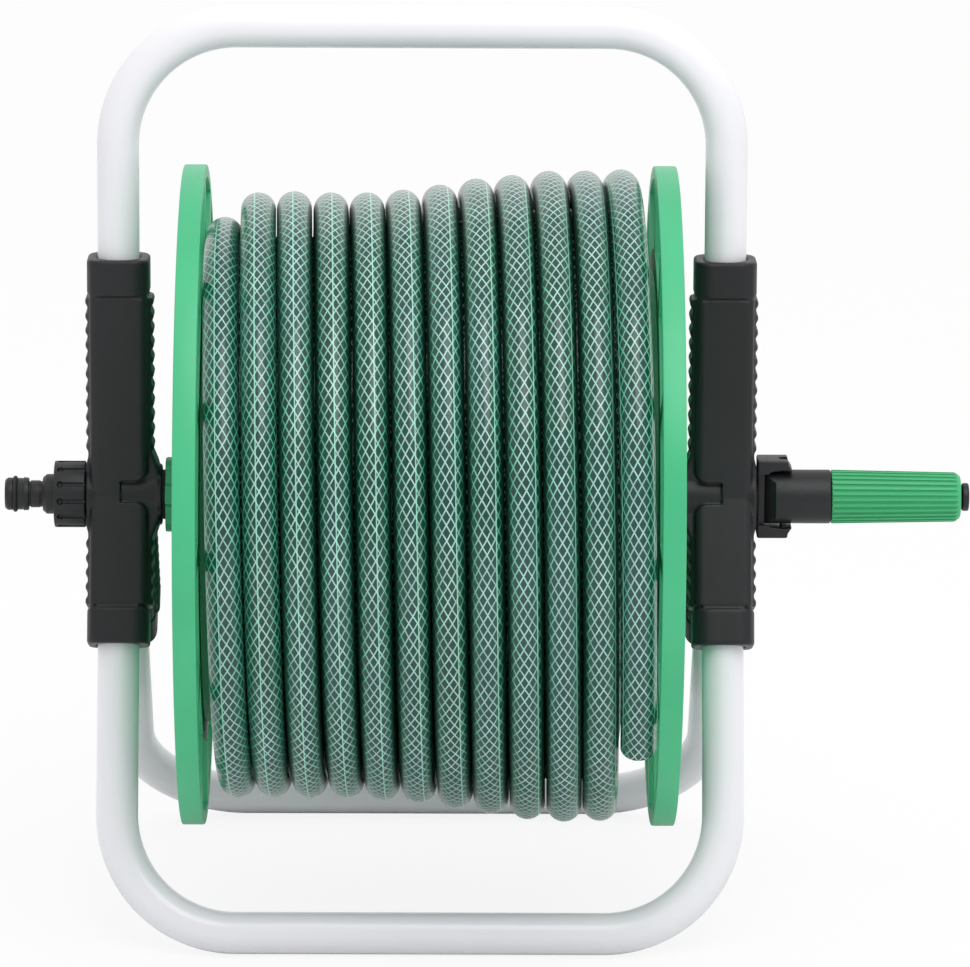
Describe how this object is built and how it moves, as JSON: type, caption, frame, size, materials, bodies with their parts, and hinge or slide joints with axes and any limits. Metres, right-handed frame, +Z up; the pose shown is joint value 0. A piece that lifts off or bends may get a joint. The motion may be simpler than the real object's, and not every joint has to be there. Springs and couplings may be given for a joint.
{
  "type": "garden hose reel",
  "caption": "Portable garden hose reel: bent tube frame with carry bar and splayed feet, moulded side brackets, spoked drum wound with braided hose, side inlet and fold-out winding handle.",
  "frame": {"origin": "on the floor under the middle of the front foot bar, at the middle of the frame's width", "axes": "+Z up, +X along the axle towards the winding handle, the user stands at -Y"},
  "size_m": [0.4398, 0.3169, 0.4205],
  "materials": {
    "white_enamel": "white baked enamel on steel tube",
    "black_plastic": "black moulded polypropylene, fine grain",
    "green_plastic": "green moulded polypropylene, satin",
    "green_grip": "green moulded grip with fine ribs",
    "braided_hose": "clear green vinyl over a fine diagonal yarn net",
    "seal_rubber": "black seal rubber",
    "zinc_steel": "bright zinc plate",
    "acetal": "natural acetal"
  },
  "bodies": {
    "frame": {"handle_tube": "white_enamel", "front_foot_tube": "white_enamel", "rear_foot_tube": "white_enamel", "left_bracket": "black_plastic", "right_bracket": "black_plastic", "left_handle_screw": "zinc_steel", "left_front_foot_screw": "zinc_steel", "left_rear_foot_screw": "zinc_steel", "right_handle_screw": "zinc_steel", "right_front_foot_screw": "zinc_steel", "right_rear_foot_screw": "zinc_steel", "right_bush": "acetal", "inlet_shaft": "black_plastic", "shaft_clip": "zinc_steel", "inlet_washer": "seal_rubber", "inlet_nut": "black_plastic", "inlet_nipple": "black_plastic", "nipple_ring": "seal_rubber", "shaft_seal_1": "seal_rubber", "shaft_seal_2": "seal_rubber"},
    "drum": {"left_flange": "green_plastic", "right_flange": "green_plastic", "drum_barrel": "green_plastic", "hub_collar": "green_plastic", "outlet_elbow": "black_plastic", "left_bush": "acetal", "hose_tail": "braided_hose", "hose_clamp": "zinc_steel", "hose_core": "braided_hose", "hose_outer_layer": "braided_hose", "handle_fork": "black_plastic", "axle_screw": "zinc_steel", "fork_pin": "zinc_steel"},
    "handle": {"handle_stem": "black_plastic", "grip_cap": "black_plastic"},
    "grip": {"handle_grip": "green_grip"}
  },
  "joints": [
    {"name": "drum_spin", "type": "hinge", "parent": "frame", "child": "drum", "pos_m": [0, 0.07004, 0.1965], "axis": [1, 0, 0], "continuous": true},
    {"name": "handle_fold", "type": "hinge", "parent": "drum", "child": "handle", "pos_m": [0.16539, 0.07004, 0.1965], "axis": [0, 0, 1], "range_deg": [0, 90]},
    {"name": "grip_spin", "type": "hinge", "parent": "handle", "child": "grip", "pos_m": [0.18709, 0.07004, 0.1965], "axis": [1, 0, 0], "continuous": true}
  ]
}
